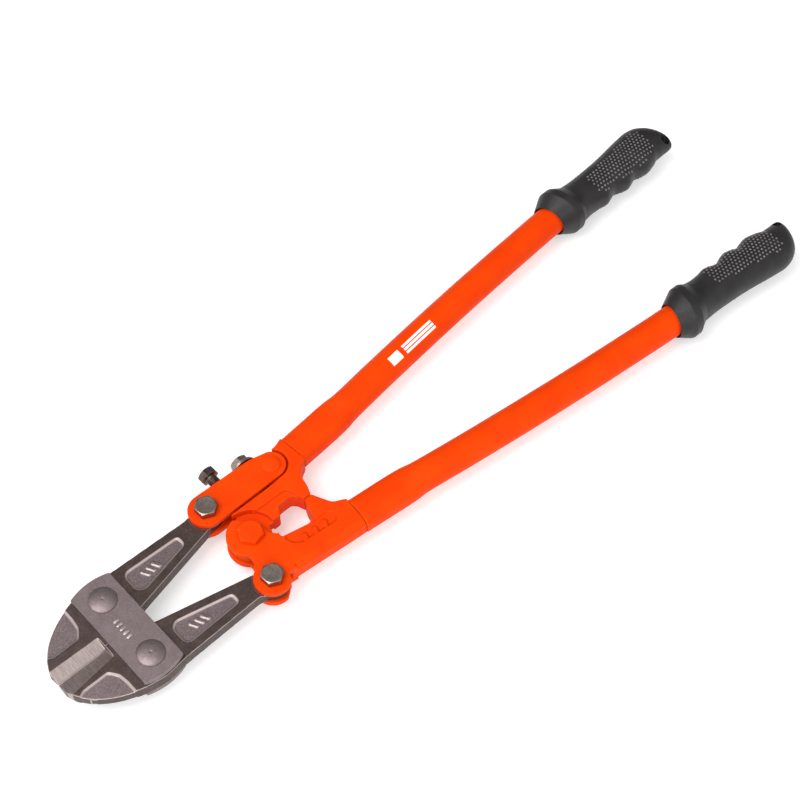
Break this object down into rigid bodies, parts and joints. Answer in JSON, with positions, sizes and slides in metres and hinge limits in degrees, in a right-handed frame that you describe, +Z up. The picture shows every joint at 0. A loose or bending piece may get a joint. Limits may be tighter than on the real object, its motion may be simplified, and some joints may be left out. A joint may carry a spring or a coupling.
{
  "type": "bolt cutters",
  "caption": "Compound-action bolt cutters: forged jaws between riveted side plates, cast levers on painted tube handles with moulded rubber grips, adjustable link and screws.",
  "frame": {"origin": "middle of the bounding box's underside, on the plane the tool rests on when it lies flat", "axes": "+X from the jaw tips to the grips, +Y towards the handle that carries the adjusting link, +Z up through the side plates"},
  "size_m": [0.608, 0.1658, 0.0364],
  "materials": {
    "jaw_steel": "forged and tempered, dull grey-brown, with bright ground bevels",
    "plate_steel": "machined flat plate, satin grey",
    "zinc_steel": "dark zinc plated fasteners with worn bright edges",
    "orange_paint": "glossy orange powder coat over castings and tube",
    "grip_rubber": "matte moulded black rubber with a raised dot panel"
  },
  "bodies": {
    "head": {"side_plate_top": "plate_steel", "side_plate_bottom": "plate_steel", "upper_jaw_rivet": "plate_steel", "lower_jaw_rivet": "plate_steel"},
    "upper_jaw": {"upper_jaw": "jaw_steel"},
    "lower_jaw": {"lower_jaw": "jaw_steel"},
    "adjusting_link": {"adjusting_link": "orange_paint", "link_rivet": "orange_paint", "upper_jaw_bolt": "zinc_steel", "upper_jaw_bolt_spring_washer": "zinc_steel", "upper_jaw_bolt_nut": "zinc_steel", "rear_lock_washer": "zinc_steel"},
    "upper_handle": {"upper_handle_casting": "orange_paint", "upper_handle_tube": "orange_paint", "upper_grip": "grip_rubber"},
    "lower_handle": {"lower_handle_casting": "orange_paint", "lower_handle_tube": "orange_paint", "lower_grip": "grip_rubber", "centre_bolt": "orange_paint", "centre_bolt_spring_washer": "zinc_steel", "centre_bolt_nut": "orange_paint", "lower_jaw_bolt": "zinc_steel", "lower_jaw_bolt_spring_washer": "zinc_steel", "lower_jaw_bolt_nut": "zinc_steel"},
    "front_adjusting_screw": {"front_adjusting_screw": "zinc_steel"},
    "rear_lock_screw": {"rear_lock_screw": "zinc_steel"}
  },
  "joints": [
    {"name": "upper_jaw_pivot", "type": "hinge", "parent": "head", "child": "upper_jaw", "pos_m": [-0.2495, 0.025, 0.0182], "axis": [0, 0, -1], "range_deg": [0, 6.7]},
    {"name": "lower_jaw_pivot", "type": "hinge", "parent": "head", "child": "lower_jaw", "pos_m": [-0.2495, -0.025, 0.0182], "axis": [0, 0, 1], "range_deg": [0, 6.7]},
    {"name": "upper_jaw_joint", "type": "hinge", "parent": "upper_jaw", "child": "adjusting_link", "pos_m": [-0.1585, 0.034, 0.0182], "axis": [0, 0, 1], "range_deg": [0, 41.6]},
    {"name": "lower_jaw_joint", "type": "hinge", "parent": "lower_jaw", "child": "lower_handle", "pos_m": [-0.1585, -0.034, 0.0182], "axis": [0, 0, -1], "range_deg": [0, 41.7]},
    {"name": "link_pivot", "type": "hinge", "parent": "adjusting_link", "child": "upper_handle", "pos_m": [-0.105, 0.0325, 0.0182], "axis": [0, 0, 1], "range_deg": [-0.6, 0.6]},
    {"name": "front_screw_turn", "type": "hinge", "parent": "adjusting_link", "child": "front_adjusting_screw", "pos_m": [-0.139, 0.045, 0.0182], "axis": [0, 1, 0], "range_deg": [-90, 90]},
    {"name": "rear_screw_turn", "type": "hinge", "parent": "upper_handle", "child": "rear_lock_screw", "pos_m": [-0.1176, 0.045, 0.0182], "axis": [0, 1, 0], "range_deg": [-90, 90]}
  ],
  "couplings": [
    {"joint": "upper_jaw_pivot", "follows": "upper_jaw_joint", "ratio": 0.16047},
    {"joint": "lower_jaw_pivot", "follows": "upper_jaw_joint", "ratio": 0.16047},
    {"joint": "lower_jaw_joint", "follows": "upper_jaw_joint", "ratio": 1},
    {"joint": "link_pivot", "follows": "front_screw_turn", "ratio": 0.005556}
  ]
}
